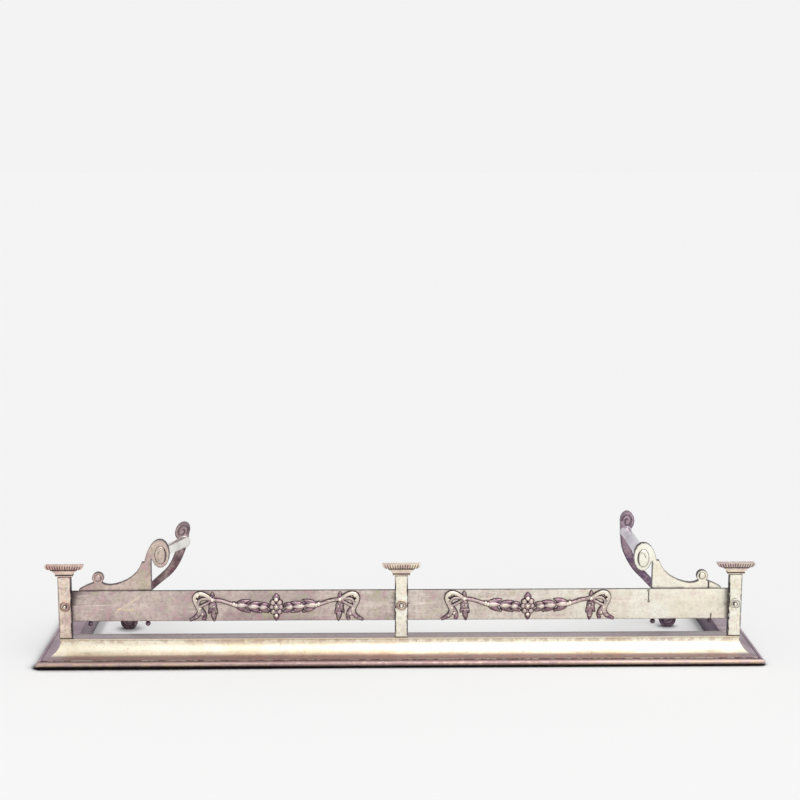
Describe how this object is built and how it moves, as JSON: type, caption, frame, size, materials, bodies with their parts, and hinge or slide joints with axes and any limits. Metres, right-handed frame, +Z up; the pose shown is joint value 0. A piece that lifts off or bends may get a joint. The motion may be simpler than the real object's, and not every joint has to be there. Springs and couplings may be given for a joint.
{
  "type": "fire fender",
  "caption": "Low brass hearth fender: moulded mitred kerb on three sides, flat rail on capped posts with cast bow-and-swag mounts, and a scrolled tool rest at each end.",
  "frame": {"origin": "centre of the whole fender's box, on the hearth that it stands on", "axes": "+Z up; the front of the fender faces -Y and its open side faces +Y; +X is to the right of someone who looks at the front"},
  "size_m": [1.37, 0.33, 0.2405],
  "materials": {
    "pale_brass": "worn and rubbed bright, satin",
    "dull_brass": "tarnished grey-tan with worn edges, satin",
    "dark_brass": "dark cast surface, rubbed on the high spots",
    "shaded_brass": "dark tarnish, dull",
    "steel": "dull oxidised steel"
  },
  "bodies": {
    "root": {"kerb_front": "pale_brass", "left_post": "pale_brass", "middle_post": "pale_brass", "right_post": "pale_brass", "left_rosette_bolt": "pale_brass", "middle_rosette_bolt": "pale_brass", "right_rosette_bolt": "pale_brass", "left_rest_bar": "pale_brass", "right_rest_bar": "pale_brass", "kerb_left_return": "dull_brass", "kerb_right_return": "dull_brass", "left_post_cap": "dull_brass", "middle_post_cap": "dull_brass", "right_post_cap": "dull_brass", "left_rosette": "dull_brass", "middle_rosette": "dull_brass", "right_rosette": "dull_brass", "left_rosette_nut": "dull_brass", "middle_rosette_nut": "dull_brass", "right_rosette_nut": "dull_brass", "left_scroll_plate": "dull_brass", "right_scroll_plate": "dull_brass", "front_rail": "dull_brass", "left_plate_rivet_1": "dull_brass", "left_plate_rivet_2": "dull_brass", "left_plate_rivet_3": "dull_brass", "right_plate_rivet_1": "dull_brass", "right_plate_rivet_2": "dull_brass", "right_plate_rivet_3": "dull_brass", "left_swag_mount": "dark_brass", "right_swag_mount": "dark_brass", "left_ball_drop_1": "dark_brass", "left_ball_drop_2": "dark_brass", "right_ball_drop_1": "dark_brass", "right_ball_drop_2": "dark_brass", "left_scroll_leg": "shaded_brass", "right_scroll_leg": "shaded_brass", "left_mitre_bracket": "steel", "right_mitre_bracket": "steel", "left_post_screw": "steel", "middle_post_screw": "steel", "right_post_screw": "steel", "swag_nut_1": "steel", "swag_nut_2": "steel", "swag_nut_3": "steel", "swag_nut_4": "steel", "swag_nut_5": "steel", "swag_nut_6": "steel"}
  },
  "joints": []
}
